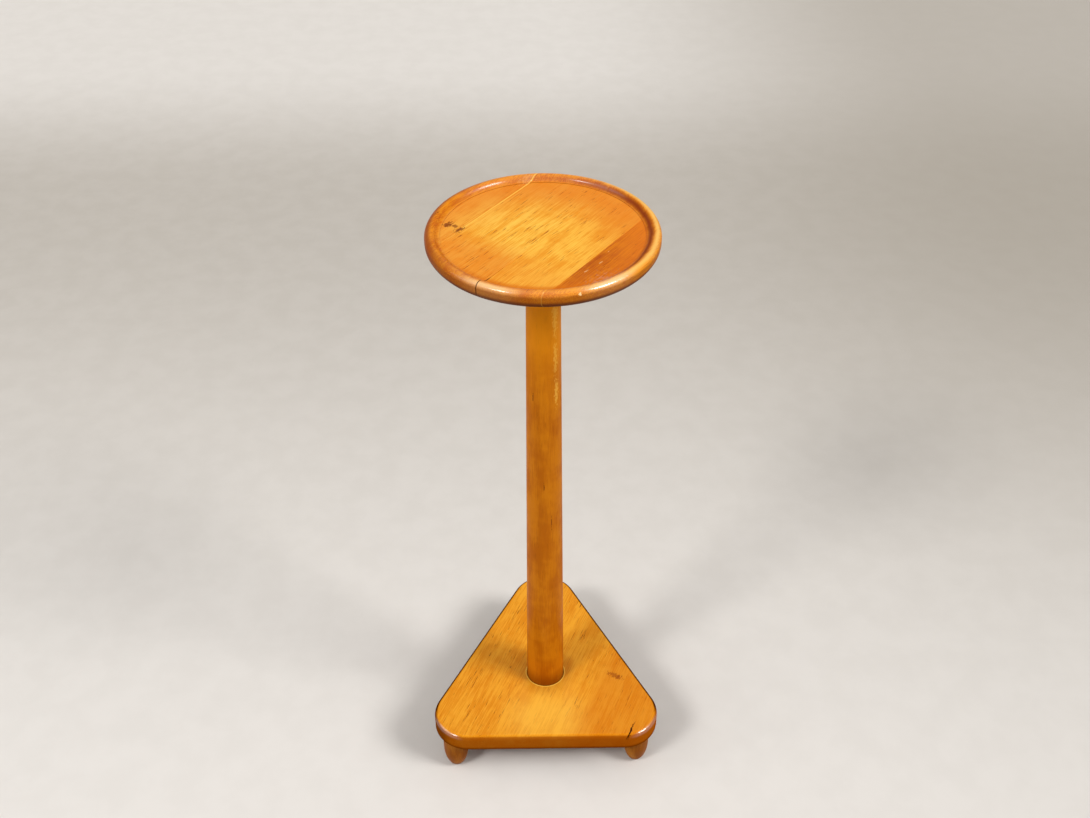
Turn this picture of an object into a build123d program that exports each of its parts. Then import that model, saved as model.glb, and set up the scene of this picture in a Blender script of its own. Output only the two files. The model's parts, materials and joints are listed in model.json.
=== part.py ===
from build123d import *
from math import atan2, cos, pi, radians, sin, sqrt, tan
import os

# Small pedestal table with a dished round top that tips up on two pivot pins.
# Millimetres, +Z up. The origin is on the floor under the middle of the table's
# outline, and the straight front edge of the three-cornered base faces -Y.

# Overall
table_height = 781.0

# Round top, glued up from four staves and dished
top_diameter = 250.0
top_thickness = 20.0
tray_depth = 5.5
tray_step = 0.5              # small square step where the tray's floor meets its rim
cove_angle = 52.0            # how steeply the rim's inner slope falls
rim_top_round = 6.0          # outer edge of the rim, above and below
rim_under_round = 10.0
stave_direction = 54.0       # degrees from +X, the way the staves run
front_joint = 71.0           # glue lines, as distances across the staves from the column
middle_joint = 7.0
back_joint = 75.0

# Three-cornered base board
base_width = 353.0           # between the sharp corners, before rounding
base_depth = 351.0
base_thickness = 25.0
base_corner_radius = 45.5
base_top_round = 6.0
base_bottom_round = 2.0
column_setback = 111.4       # column axis behind the front edge

# Turned column
column_foot_diameter = 49.5
column_head_diameter = 38.0
column_shoulder_bevel = 1.0
socket_bevel = 0.8

# Turned feet
foot_height = 56.0
foot_diameter = 33.0
foot_pad_diameter = 8.0      # the flat that stands on the floor
foot_dome_height = 37.0      # where the long round end runs into the straight side
foot_tip_reach = 11.5        # the curve leaves the pad towards this radius and this height
foot_tip_rise = 4.2
foot_side_start = 19.5       # and comes up to the side from this height
foot_tenon_diameter = 16.0
foot_tenon_cover = 7.5       # wood left above each foot's blind hole
foot_side_inset = 27.5       # front feet, in from the base's sides
left_foot_setback = 25.0     # feet, in from the front and back of the base
right_foot_setback = 29.5
back_foot_setback = 20.0

# Pivot block on the column, and what joins it to the column
block_length = 76.0          # along the pivot axis
block_width = 72.0
block_thickness = 26.0
block_edge_round = 3.0
pivot_inset = 12.0           # pivot axis below the block's top and behind its front face
pivot_edge_round = 14.0      # lets the top swing past the block's upper front edge
tenon_diameter = 24.0
wedge_depth = 18.0
wedge_thick_end = 3.5
wedge_thin_end = 1.2

# Bearers under the top
bearer_width = 18.0
bearer_end_thickness = 7.0
bearer_rim_margin = 7.0      # bearer corners in from the edge of the flat underside
bearer_shoulder_margin = 9.0  # full depth beyond the block, before the taper
bearer_edge_round = 1.5

# Pivot pins
pin_diameter = 8.0
pin_depth = 20.0             # length held in the block
pin_end_bevel = 0.6

# Wood screws that hold the bearers
screw_diameter = 4.0
screw_head_diameter = 8.0
screw_head_height = 2.6
screw_slot_width = 1.0
screw_slot_depth = 1.1
screw_tip_length = 3.0
screw_grip = 9.5             # length driven into the top
long_screw_seat = 20.0       # head seats, below the underside of the top
short_screw_seat = 6.0
screw_end_inset = 8.0        # short screws, in from the bearers' ends
front_screw_place = 40.0     # long screws, across the staves from the column
back_screw_place = 8.0
screw_pocket_gap = 0.5

# Turn button that locks the top down
button_thickness = 8.0
button_side_margin = 0.5     # its hub, in from the bearer's sides
button_tip_radius = 6.0
button_bite = 18.5           # how far its tip reaches under the block
button_block_inset = 10.0    # its screw, in from the block's back face
button_edge_round = 1.2
button_screw_diameter = 4.5
button_head_diameter = 9.0
button_head_height = 3.0
button_screw_grip = 16.0
button_washer_diameter = 13.0
button_washer_thickness = 1.2

# Screw and washer that pull the column into the base
coach_screw_diameter = 8.0
coach_screw_grip = 62.0
coach_screw_tip = 6.0
hex_across_flats = 13.0
hex_height = 5.5
coach_washer_diameter = 24.0
coach_washer_thickness = 2.0
recess_margin = 2.0          # room round the washer
recess_cover = 0.5           # head below the base's underside
base_web = 8.0               # wood clamped between the washer and the column

# Fits, as gaps on each side
glue_gap = 0.1
press_gap = 0.02
running_gap = 0.05
socket_gap = 0.35
seat_gap = 0.2               # top above its block when level
side_gap = 0.5               # bearers beside the block
head_gap = 0.1               # button under its screw's head

# Heights
base_under = foot_height
base_top = base_under + base_thickness
underside = table_height - top_thickness
block_top = underside - seat_gap
block_under = block_top - block_thickness
pivot_height = block_top - pivot_inset

# Plan of the base, measured from the column axis
base_front = -column_setback
base_back = base_depth - column_setback
half_apex = atan2(base_width / 2, base_depth)
half_front_corner = (pi / 2 - half_apex) / 2
side_reach = base_width / 2 - base_corner_radius / tan(half_front_corner) + base_corner_radius
back_reach = base_back - base_corner_radius / sin(half_apex) + base_corner_radius

# The column axis stands this far from the middle of the outline
top_radius = top_diameter / 2
axis_y = (max(column_setback, top_radius) - max(back_reach, top_radius)) / 2
foot_places = {
    "foot_left": (-(side_reach - foot_side_inset), base_front + left_foot_setback),
    "foot_right": (side_reach - foot_side_inset, base_front + right_foot_setback),
    "foot_back": (0, back_reach - back_foot_setback),
}

# Directions along and across the staves; the pivot axis runs along them
along = Vector(cos(radians(stave_direction)), sin(radians(stave_direction)), 0)
across = Vector(-along.Y, along.X, 0)
column_axis = Axis((0, axis_y, 0), (0, 0, 1))

# Working planes: under the top, upright through the column, and square to the pivot
top_plane = Plane(origin=(0, axis_y, underside), x_dir=along, z_dir=(0, 0, 1))
upright = Plane(origin=(0, axis_y, 0), x_dir=along, z_dir=-across)
side_view = Plane(origin=(0, axis_y, 0), x_dir=across, z_dir=along)
base_plane = Plane(origin=(0, axis_y, base_under))

# Places across the staves
flat_radius = top_radius - rim_under_round
bearer_inner = block_length / 2 + side_gap
bearer_outer = bearer_inner + bearer_width
bearer_middle = (bearer_inner + bearer_outer) / 2
bearer_reach = sqrt((flat_radius - bearer_rim_margin) ** 2 - bearer_outer ** 2)
bearer_shoulder = block_width / 2 + bearer_shoulder_margin
bearer_depth = block_thickness
pivot_place = pivot_inset - block_width / 2
button_place = block_width / 2 - button_block_inset
button_hub_radius = bearer_width / 2 - button_side_margin
button_top = bearer_depth + button_washer_thickness
button_seat = button_top + button_thickness + head_gap
short_screw_place = bearer_reach - screw_end_inset
long_screw_places = []
short_screw_places = []
for side in (-bearer_middle, bearer_middle):
    long_screw_places += [(side, -front_screw_place), (side, back_screw_place)]
    short_screw_places += [(side, -short_screw_place), (side, short_screw_place)]

os.makedirs("parts", exist_ok=True)


def save(piece, label):
    """Name a finished piece and write it to its own file."""
    piece.part.label = label
    export_step(piece.part, f"parts/{label}.step")


# Base board: rounded three-cornered outline, soft edges, socket for the column,
# blind holes for the feet and a recess below for the screw that holds the column
recess_depth = coach_washer_thickness + hex_height + recess_cover
recess_radius = coach_washer_diameter / 2 + recess_margin
socket_radius = column_foot_diameter / 2 + socket_gap
socket_floor = base_under + recess_depth + base_web
with BuildPart() as base_board:
    with BuildSketch(base_plane) as outline:
        Polygon(
            (-base_width / 2, base_front),
            (base_width / 2, base_front),
            (0, base_back),
            align=None,
        )
        fillet(outline.vertices(), radius=base_corner_radius)
    extrude(amount=base_thickness)
    fillet(base_board.faces().sort_by(Axis.Z)[-1].edges(), radius=base_top_round)
    fillet(base_board.faces().sort_by(Axis.Z)[0].edges(), radius=base_bottom_round)
    with BuildSketch(base_plane.offset(socket_floor - base_under)):
        Circle(socket_radius)
    extrude(amount=base_top - socket_floor, mode=Mode.SUBTRACT)
    socket_mouth = base_board.faces().sort_by(Axis.Z)[-1].inner_wires()[0].edges()
    chamfer(socket_mouth, length=socket_bevel)
    with BuildSketch(base_plane):
        Circle(recess_radius)
    extrude(amount=recess_depth, mode=Mode.SUBTRACT)
    with BuildSketch(base_plane):
        Circle(coach_screw_diameter / 2 + glue_gap)
    extrude(amount=socket_floor - base_under, mode=Mode.SUBTRACT)
    with BuildSketch(base_plane):
        with Locations(*foot_places.values()):
            Circle(foot_tenon_diameter / 2 + glue_gap)
    extrude(amount=base_thickness - foot_tenon_cover, mode=Mode.SUBTRACT)
save(base_board, "base_board")


# Feet: turned pegs with a domed end, a small flat to stand on and a tenon
foot_radius = foot_diameter / 2
foot_tenon_length = base_thickness - foot_tenon_cover - glue_gap


def make_foot(label, place):
    """One turned foot under the base, at a place measured from the column."""
    centre = (place[0], axis_y + place[1], 0)
    pad_radius = foot_pad_diameter / 2
    with BuildPart() as foot:
        with BuildSketch(Plane(origin=centre, x_dir=(1, 0, 0), z_dir=(0, -1, 0))):
            with BuildLine():
                Line((0, 0), (pad_radius, 0))
                Bezier(
                    (pad_radius, 0),
                    (foot_tip_reach, foot_tip_rise),
                    (foot_radius, foot_side_start),
                    (foot_radius, foot_dome_height),
                )
                Polyline(
                    (foot_radius, foot_dome_height),
                    (foot_radius, foot_height),
                    (foot_tenon_diameter / 2, foot_height),
                    (foot_tenon_diameter / 2, foot_height + foot_tenon_length),
                    (0, foot_height + foot_tenon_length),
                    (0, 0),
                )
            make_face()
        revolve(axis=Axis(centre, (0, 0, 1)))
    save(foot, label)


for foot_label, foot_place in foot_places.items():
    make_foot(foot_label, foot_place)


# Section of the wedge in the column's tenon, thick end up
with BuildSketch(upright) as wedge_section:
    with BuildLine():
        Polyline(
            (-wedge_thin_end / 2, block_top - wedge_depth),
            (wedge_thin_end / 2, block_top - wedge_depth),
            (wedge_thick_end / 2, block_top),
            (-wedge_thick_end / 2, block_top),
            close=True,
        )
    make_face()

# Column: socketed end, long taper, shoulder and a wedged tenon through the block
foot_end_radius = column_foot_diameter / 2
head_radius = column_head_diameter / 2
tenon_radius = tenon_diameter / 2
with BuildPart() as column:
    with BuildSketch(upright):
        with BuildLine():
            Polyline(
                (0, socket_floor),
                (foot_end_radius, socket_floor),
                (foot_end_radius, base_top),
                (head_radius, block_under - column_shoulder_bevel),
                (head_radius - column_shoulder_bevel, block_under),
                (tenon_radius, block_under),
                (tenon_radius, block_top),
                (0, block_top),
                close=True,
            )
        make_face()
    revolve(axis=column_axis)
    with BuildSketch(base_plane.offset(socket_floor - base_under)):
        Circle(coach_screw_diameter / 2 + press_gap)
    extrude(amount=coach_screw_grip, mode=Mode.SUBTRACT)
    extrude(wedge_section.sketch, amount=tenon_radius, both=True, mode=Mode.SUBTRACT)
save(column, "column")

# Wedge driven into the saw cut across the column's tenon
with BuildPart() as tenon_wedge:
    extrude(wedge_section.sketch, amount=tenon_radius, both=True)
    with BuildSketch(base_plane.offset(block_under - base_under)):
        Circle(tenon_radius)
    extrude(amount=block_thickness, mode=Mode.INTERSECT)
save(tenon_wedge, "tenon_wedge")

# Coach screw that pulls the column down into its socket, and its washer
with BuildPart() as column_screw:
    with BuildSketch(upright):
        with BuildLine():
            screw_end = socket_floor + coach_screw_grip
            Polyline(
                (0, base_under + recess_cover),
                (coach_screw_diameter / 2, base_under + recess_cover),
                (coach_screw_diameter / 2, screw_end - coach_screw_tip),
                (0, screw_end),
                close=True,
            )
        make_face()
    revolve(axis=column_axis)
    with BuildSketch(base_plane.offset(recess_cover)):
        RegularPolygon(radius=hex_across_flats / 2, side_count=6, major_radius=False)
    extrude(amount=hex_height)
save(column_screw, "column_screw")

with BuildPart() as column_washer:
    with BuildSketch(base_plane.offset(recess_cover + hex_height)):
        Circle(coach_washer_diameter / 2)
        Circle(coach_screw_diameter / 2 + glue_gap, mode=Mode.SUBTRACT)
    extrude(amount=coach_washer_thickness)
save(column_washer, "column_washer")

# Pivot block: flat top and front face that the top closes against, with the edge
# between them rounded so that the top clears it on the way
with BuildPart() as pivot_block:
    with BuildSketch(top_plane.offset(block_under - underside)):
        Rectangle(block_length, block_width)
    extrude(amount=block_thickness)
    block_top_face = pivot_block.faces().sort_by(Axis.Z)[-1]
    across_axis = Axis((0, axis_y, 0), across)
    swing_edge = block_top_face.edges().sort_by(across_axis)[0]
    fillet(swing_edge, radius=pivot_edge_round)
    chamfer(pivot_block.faces().sort_by(Axis.Z)[0].edges(), length=block_edge_round)
    with BuildSketch(top_plane.offset(block_under - underside)):
        Circle(tenon_radius + glue_gap)
    extrude(amount=block_thickness, mode=Mode.SUBTRACT)
    for end in (-1, 1):
        with BuildSketch(side_view.offset(end * block_length / 2)):
            with Locations((pivot_place, pivot_height)):
                Circle(pin_diameter / 2 + press_gap)
        extrude(amount=-end * pin_depth, mode=Mode.SUBTRACT)
save(pivot_block, "pivot_block")


def make_pin(label, end):
    """One pivot pin, held in an end of the block and running in a bearer."""
    with BuildPart() as pin:
        with BuildSketch(side_view.offset(end * (block_length / 2 - pin_depth))):
            with Locations((pivot_place, pivot_height)):
                Circle(pin_diameter / 2)
        extrude(amount=end * (pin_depth + side_gap + bearer_width))
        chamfer(pin.edges().filter_by(GeomType.CIRCLE), length=pin_end_bevel)
    save(pin, label)


make_pin("pivot_pin_left", -1)
make_pin("pivot_pin_right", 1)


def make_stave(label, low, high):
    """The strip of the dished top between two glue lines."""
    floor_height = top_thickness - tray_depth
    slope_drop = tray_depth - tray_step
    slope_radius = slope_drop / 2 / (1 - cos(radians(cove_angle)))
    with BuildPart() as stave:
        with BuildSketch(Plane(origin=top_plane.origin, x_dir=along, z_dir=-across)):
            with BuildLine():
                under = JernArc((flat_radius, 0), (1, 0), rim_under_round, 90)
                side = Line(under @ 1, (top_radius, top_thickness - rim_top_round))
                shoulder = JernArc(side @ 1, (0, 1), rim_top_round, 90)
                crest = JernArc(shoulder @ 1, (-1, 0), slope_radius, cove_angle)
                cove = JernArc(crest @ 1, crest % 1, slope_radius, -cove_angle)
                floor_edge = cove @ 1
                Polyline(
                    floor_edge,
                    (floor_edge.X, floor_height),
                    (0, floor_height),
                    (0, 0),
                    (flat_radius, 0),
                )
            make_face()
        revolve(axis=column_axis)
        with BuildSketch(top_plane):
            with Locations((0, (low + high) / 2)):
                Rectangle(top_diameter, high - low)
        extrude(amount=top_thickness, mode=Mode.INTERSECT)
        with BuildSketch(top_plane):
            with Locations(*long_screw_places, *short_screw_places):
                Circle(screw_diameter / 2 + press_gap)
        extrude(amount=screw_grip, mode=Mode.SUBTRACT)
    save(stave, label)


stave_edges = (-top_radius, -front_joint, -middle_joint, back_joint, top_radius)
for number, (low, high) in enumerate(zip(stave_edges, stave_edges[1:]), start=1):
    make_stave(f"top_stave_{number}", low, high)


def make_bearer(label, side, below_holes=()):
    """One bearer under the top, beside the block, with tapered ends."""
    with BuildPart() as bearer:
        with BuildSketch(side_view.offset(side * bearer_middle)):
            with BuildLine():
                Polyline(
                    (-bearer_reach, underside),
                    (-bearer_reach, underside - bearer_end_thickness),
                    (-bearer_shoulder, underside - bearer_depth),
                    (bearer_shoulder, underside - bearer_depth),
                    (bearer_reach, underside - bearer_end_thickness),
                    (bearer_reach, underside),
                    close=True,
                )
            make_face()
        extrude(amount=bearer_width / 2, both=True)
        lower_edges = bearer.edges().filter_by_position(
            Axis.Z, 0, underside - bearer_end_thickness, inclusive=(True, True)
        )
        fillet(lower_edges, radius=bearer_edge_round)
        with BuildSketch(side_view.offset(side * bearer_inner)):
            with Locations((pivot_place, pivot_height)):
                Circle(pin_diameter / 2 + running_gap)
        extrude(amount=side * bearer_width, mode=Mode.SUBTRACT)
        with BuildSketch(top_plane):
            with Locations(*long_screw_places, *short_screw_places):
                Circle(screw_diameter / 2 + glue_gap)
        extrude(amount=-bearer_depth, mode=Mode.SUBTRACT)
        for seat, places in (
            (long_screw_seat, long_screw_places),
            (short_screw_seat, short_screw_places),
        ):
            with BuildSketch(top_plane.offset(-seat)):
                with Locations(*places):
                    Circle(screw_head_diameter / 2 + screw_pocket_gap)
            extrude(amount=seat - bearer_depth, mode=Mode.SUBTRACT)
        for hole in below_holes:
            with BuildSketch(top_plane.offset(-bearer_depth)):
                with Locations(hole):
                    Circle(button_screw_diameter / 2 + press_gap)
            extrude(amount=button_screw_grip, mode=Mode.SUBTRACT)
    save(bearer, label)


make_bearer("bearer_left", -1)
make_bearer("bearer_right", 1, below_holes=[(bearer_middle, button_place)])


def make_screw(radius, length, head_diameter, head_height):
    """A slotted round-head wood screw, point up, its head's seat at the origin."""
    head_radius = head_diameter / 2
    dome_radius = (head_radius ** 2 + head_height ** 2) / (2 * head_height)
    with BuildPart() as screw:
        with BuildSketch(Plane.XZ):
            with BuildLine():
                Polyline(
                    (0, -head_height),
                    (0, length),
                    (radius, length - screw_tip_length),
                    (radius, 0),
                    (head_radius, 0),
                )
                RadiusArc((head_radius, 0), (0, -head_height), dome_radius)
            make_face()
        revolve(axis=Axis.Z)
        with BuildSketch(Plane.XY.offset(-head_height)):
            Rectangle(head_diameter, screw_slot_width)
        extrude(amount=screw_slot_depth, mode=Mode.SUBTRACT)
    return screw.part


# Screws that hold the bearers to the staves, long ones in the middle and short
# ones through the thin ends
for screw_label, seat, places in (
    ("bearer_screws_long", long_screw_seat, long_screw_places),
    ("bearer_screws_short", short_screw_seat, short_screw_places),
):
    one_screw = make_screw(
        screw_diameter / 2, seat + screw_grip, screw_head_diameter, screw_head_height
    )
    with BuildPart() as screws:
        with Locations(*[top_plane.from_local_coords((x, y, -seat)) for x, y in places]):
            add(one_screw)
    save(screws, screw_label)

# Turn button under the right bearer, drawn clear of the block, with its screw and washer
button_arm = bearer_middle - block_length / 2 + button_bite - button_tip_radius
with BuildPart() as turn_button:
    with BuildSketch(top_plane.offset(-button_top - button_thickness)):
        with Locations((bearer_middle, button_place)):
            Circle(button_hub_radius)
        with Locations((bearer_middle, button_place + button_arm)):
            Circle(button_tip_radius)
        make_hull()
        with Locations((bearer_middle, button_place)):
            Circle(button_screw_diameter / 2 + running_gap, mode=Mode.SUBTRACT)
    extrude(amount=button_thickness)
    for level in (0, -1):
        rim = turn_button.faces().sort_by(Axis.Z)[level].outer_wire().edges()
        fillet(rim, radius=button_edge_round)
save(turn_button, "turn_button")

one_button_screw = make_screw(
    button_screw_diameter / 2,
    button_seat - bearer_depth + button_screw_grip,
    button_head_diameter,
    button_head_height,
)
with BuildPart() as button_screw:
    with Locations(top_plane.from_local_coords((bearer_middle, button_place, -button_seat))):
        add(one_button_screw)
save(button_screw, "button_screw")

with BuildPart() as button_washer:
    with BuildSketch(top_plane.offset(-button_top)):
        with Locations((bearer_middle, button_place)):
            Circle(button_washer_diameter / 2)
            Circle(button_screw_diameter / 2 + glue_gap, mode=Mode.SUBTRACT)
    extrude(amount=button_washer_thickness)
save(button_washer, "button_washer")
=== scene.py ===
# %% [markdown]
# This lesson dresses a small pedestal table: a dished round top glued up from four
# staves, a turned column and a three-cornered base that stands on three pegs. The top
# tips up on two hidden pins. The solids of every piece come in first, as a fixed frame
# in metres, and every new piece takes its place and its main sizes from them.

# %% Load the frame
import json
from math import atan2, cos, pi, radians, sin

import bmesh
import bpy
from mathutils import Matrix, Vector
from mathutils.geometry import interpolate_bezier


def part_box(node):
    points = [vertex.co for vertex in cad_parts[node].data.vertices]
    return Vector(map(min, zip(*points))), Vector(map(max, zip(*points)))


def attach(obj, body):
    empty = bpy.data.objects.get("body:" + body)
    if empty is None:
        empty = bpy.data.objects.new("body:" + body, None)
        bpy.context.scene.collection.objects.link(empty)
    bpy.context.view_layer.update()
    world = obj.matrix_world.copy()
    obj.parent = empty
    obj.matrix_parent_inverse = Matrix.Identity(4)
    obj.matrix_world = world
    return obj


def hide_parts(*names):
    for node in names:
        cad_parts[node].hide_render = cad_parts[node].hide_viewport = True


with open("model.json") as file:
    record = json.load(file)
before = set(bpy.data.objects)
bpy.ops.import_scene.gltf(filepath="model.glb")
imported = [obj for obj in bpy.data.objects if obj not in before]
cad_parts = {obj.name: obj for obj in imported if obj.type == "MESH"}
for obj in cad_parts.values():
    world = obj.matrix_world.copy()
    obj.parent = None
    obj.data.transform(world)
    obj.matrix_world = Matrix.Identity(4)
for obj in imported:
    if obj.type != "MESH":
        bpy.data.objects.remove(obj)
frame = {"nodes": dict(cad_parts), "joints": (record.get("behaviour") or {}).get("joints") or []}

scene = bpy.context.scene
scene.view_settings.view_transform = "Standard"
nodes = frame["nodes"]
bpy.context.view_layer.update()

# %% [markdown]
# Two measures place everything else. The column's own box gives its axis, and the
# hinge that tips the top gives the way the staves run, because the pins lie along them.
# Reading both from the frame keeps the new pieces in line with the solids.

# %% Find the column and the way the staves run
column_low, column_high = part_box("column")
axis = Vector(((column_low.x + column_high.x) / 2, (column_low.y + column_high.y) / 2, 0))
tilt = next(joint for joint in frame["joints"] if joint["name"] == "top_tilt")
along = Vector(tilt["axis"]).normalized()
across = Vector((-along.y, along.x, 0))
stave_turn = atan2(along.y, along.x)
up = Vector((0, 0, 1))


def reach(node, direction):
    """How far a solid of the frame lies from the column axis, each way along a direction."""
    places = [(vertex.co - axis).dot(direction) for vertex in nodes[node].data.vertices]
    return min(places), max(places)


print("column axis", [round(part, 4) for part in axis], "staves turned", round(stave_turn, 3))

# %% [markdown]
# The camera stands where the photograph was taken from, a metre and a half up and looking
# down. It was worked out from the outlines of the top and the base: a long lens far away
# and a short lens close by give the same width, but only one of them gives both the round
# top's flatness and the base's size below it.

# %% Place the camera
photo_width = 1090
sensor_width = 36
lens_in_pixels = 1342.0
camera_place = axis + Vector((-0.0090, -1.2237, 1.5042))
camera_pitch = radians(38.25)
camera_yaw = 0.0084
camera_roll = -0.0047

camera = bpy.data.objects.new("camera", bpy.data.cameras.new("camera"))
scene.collection.objects.link(camera)
camera.data.sensor_width = sensor_width
camera.data.lens = lens_in_pixels / photo_width * sensor_width
camera_turn = (
    Matrix.Rotation(-camera_yaw, 4, "Z")
    @ Matrix.Rotation(pi / 2 - camera_pitch, 4, "X")
    @ Matrix.Rotation(camera_roll, 4, "Z")
)
camera.matrix_world = Matrix.Translation(camera_place) @ camera_turn
scene.camera = camera
print("camera lens", round(camera.data.lens, 2), "mm")

# %% [markdown]
# A finish in Blender is a small graph of nodes. These helpers keep the graphs short to
# read: one adds a node and fills its inputs, and the others are the few moves that every
# finish needs, such as a soft step or mixing two tones by a share. A share is a number
# from 0, nowhere, to 1, fully there.

# %% Helpers for finishes
def add_node(tree, kind, fills, **settings):
    """Add a node, set its options, then fill or link its inputs by name or number."""
    made = tree.nodes.new(kind)
    for option, value in settings.items():
        setattr(made, option, value)
    for key, value in fills.items():
        if isinstance(value, bpy.types.NodeSocket):
            tree.links.new(value, made.inputs[key])
        else:
            made.inputs[key].default_value = value
    return made


def srgb(red, green, blue):
    """A colour as an eye-dropper reads it, made linear for the shader."""
    linear = []
    for part in (red, green, blue):
        share = part / 255
        linear.append(share / 12.92 if share <= 0.04045 else ((share + 0.055) / 1.055) ** 2.4)
    return (*linear, 1)


def tint(tree, share, below, above):
    """Mix two colours: share 0 gives the first and share 1 the second."""
    fills = {0: share, 6: below, 7: above}
    return add_node(tree, "ShaderNodeMix", fills, data_type="RGBA").outputs[2]


def maths(tree, operation, *values):
    """One step of arithmetic on numbers."""
    fills = dict(enumerate(values))
    return add_node(tree, "ShaderNodeMath", fills, operation=operation).outputs[0]


def both(tree, first, second):
    """Two shares times each other: full only where both are."""
    return maths(tree, "MULTIPLY", first, second)


def either(tree, first, second):
    """The larger of two shares."""
    return maths(tree, "MAXIMUM", first, second)


def weigh(tree, *pairs):
    """Add up values, each times its weight."""
    total = 0.0
    for value, weight in pairs:
        total = maths(tree, "MULTIPLY_ADD", value, weight, total)
    return total


def ramp(tree, value, start, end, low=0.0, high=1.0):
    """A soft step: low at the start of the range, high at its end."""
    fills = {0: value, 1: start, 2: end, 3: low, 4: high}
    return add_node(tree, "ShaderNodeMapRange", fills, interpolation_type="SMOOTHSTEP").outputs[0]


def ring(tree, value, middle, half):
    """1 where a value is at the middle of a band, 0 at the band's edges."""
    return ramp(tree, maths(tree, "ABSOLUTE", maths(tree, "SUBTRACT", value, middle)), half, 0)


print("helpers for colours and shares are ready")

# %% [markdown]
# A pattern has to know where on the piece it is. These helpers work on places: they take one
# apart, measure how far it is from a point, or stretch it so that a round blot of noise
# becomes a long streak. Noise is the only source of chance here, and it is fixed by the
# place that it is read at, so every run gives the same table.

# %% Helpers for places
noise_roughness = 0.55


def vector(tree, operation, *values):
    """One step of arithmetic on places."""
    fills = dict(enumerate(values))
    made = add_node(tree, "ShaderNodeVectorMath", fills, operation=operation)
    return made.outputs["Value" if operation in ("LENGTH", "DOT_PRODUCT") else "Vector"]


def parts_of(tree, place):
    """The three parts of a place, each read by its letter: X, Y or Z."""
    return add_node(tree, "ShaderNodeSeparateXYZ", {0: place}).outputs


def flattened(tree, place):
    """Places with their height taken out."""
    return vector(tree, "MULTIPLY", place, (1, 1, 0))


def distance(tree, place, point):
    """How far each place is from a point."""
    return vector(tree, "LENGTH", vector(tree, "SUBTRACT", place, tuple(point)))


def stretched(tree, place, length, width):
    """Places in which a mark this long and this wide measures one."""
    return vector(tree, "MULTIPLY", place, (1 / length, 1 / width, 1 / width))


def noise(tree, place, detail):
    """Soft random variation about one half."""
    fills = {"Vector": place, "Scale": 1, "Detail": detail, "Roughness": noise_roughness}
    return add_node(tree, "ShaderNodeTexNoise", fills).outputs["Fac"]


def facing(tree):
    """How far a face looks to the right (X), to the back (Y) and up (Z), each from -1 to 1."""
    normal = add_node(tree, "ShaderNodeTexCoord", {}).outputs["Normal"]
    return parts_of(tree, normal)


print("helpers for places are ready")

# %% [markdown]
# The wood is a pale, close-grained hardwood under an old amber lacquer. On the real table
# it shows four things at once: broad soft bands, fine streaks along the grain, a little
# curl across it, and short dark flecks. Painting a picture of that would slide over the
# corners, so the pattern is a solid one, read from each point's place in the board. It is
# stretched along the grain, and so the ends of a board show dots where its face shows
# streaks.

# %% The wood's figure
cloud_size = (0.050, 0.028)
band_size = (0.180, 0.010)
streak_size = (0.030, 0.0011)
curl_size = (0.012, 0.030)
fibre_size = (0.012, 0.0006)
fleck_size = (0.018, 0.0011)
band_weight = 0.17
curl_weight = 0.10
fibre_weight = 0.12
cloud_and_streak_weight = 0.61
tone_range = (0.42, 0.58)
cluster_range = (0.40, 0.58)
fleck_range = (0.65, 0.74)
end_grain_range = (0.45, 1.0)
fibre_relief = 0.5
fleck_relief = -0.6


def grain_place(tree, centre, turn):
    """Places measured along the grain (x), across it (y) and through the board (z)."""
    place = add_node(tree, "ShaderNodeTexCoord", {}).outputs["Object"]
    fills = {"Vector": place, "Location": centre, "Rotation": turn}
    return add_node(tree, "ShaderNodeMapping", fills, vector_type="TEXTURE").outputs[0]


def end_grain(tree, direction):
    """1 on faces that cut straight across the grain, 0 on faces along it."""
    normal = add_node(tree, "ShaderNodeTexCoord", {}).outputs["Normal"]
    crossing = maths(tree, "ABSOLUTE", vector(tree, "DOT_PRODUCT", normal, tuple(direction)))
    return ramp(tree, crossing, *end_grain_range)


def wood_figure(tree, place, seed, pale, deep, fleck, fleck_share, streaky=0.38):
    """Colour and relief of lacquered wood; the seed picks another part of the same log."""
    board = vector(tree, "ADD", place, seed)
    clouds = noise(tree, stretched(tree, board, *cloud_size), 3)
    bands = noise(tree, stretched(tree, board, *band_size), 2)
    streaks = noise(tree, stretched(tree, board, *streak_size), 2)
    curl = noise(tree, stretched(tree, board, *curl_size), 2)
    fibres = noise(tree, stretched(tree, board, *fibre_size), 2)
    tone = weigh(
        tree,
        (clouds, cloud_and_streak_weight - streaky),
        (bands, band_weight),
        (streaks, streaky),
        (curl, curl_weight),
        (fibres, fibre_weight),
    )
    colour = tint(tree, ramp(tree, tone, *tone_range), pale, deep)
    spindles = noise(tree, stretched(tree, board, *fleck_size), 1)
    clustered = ramp(tree, clouds, *cluster_range, low=0.2, high=fleck_share)
    flecks = both(tree, ramp(tree, spindles, *fleck_range), clustered)
    relief = weigh(tree, (fibres, fibre_relief), (flecks, fleck_relief))
    return tint(tree, flecks, colour, fleck), relief


print("wood figure is ready")

# %% [markdown]
# Over the figure lies the lacquer. Blender's main shader has a coat for that: a clear layer
# with a gloss of its own, over a base that carries the colour. The wood below it hardly
# shines by itself. A coat that bends light strongly gives the bright highlights of thick old
# lacquer, but it also mirrors the pale backdrop and greys the dark tones, so each finish says
# later where its coat is thick. Smudges break up the gloss, and the grain shows as relief.

# %% The lacquer
plain_coat_ior = 1.5
glassy_coat_ior = 2.0
coat_roughness = 0.18
smudge_size = (0.05, 0.03)
smudge_range = (0.35, 0.65)
grain_strength = 0.35
grain_depth = 0.00025


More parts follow.
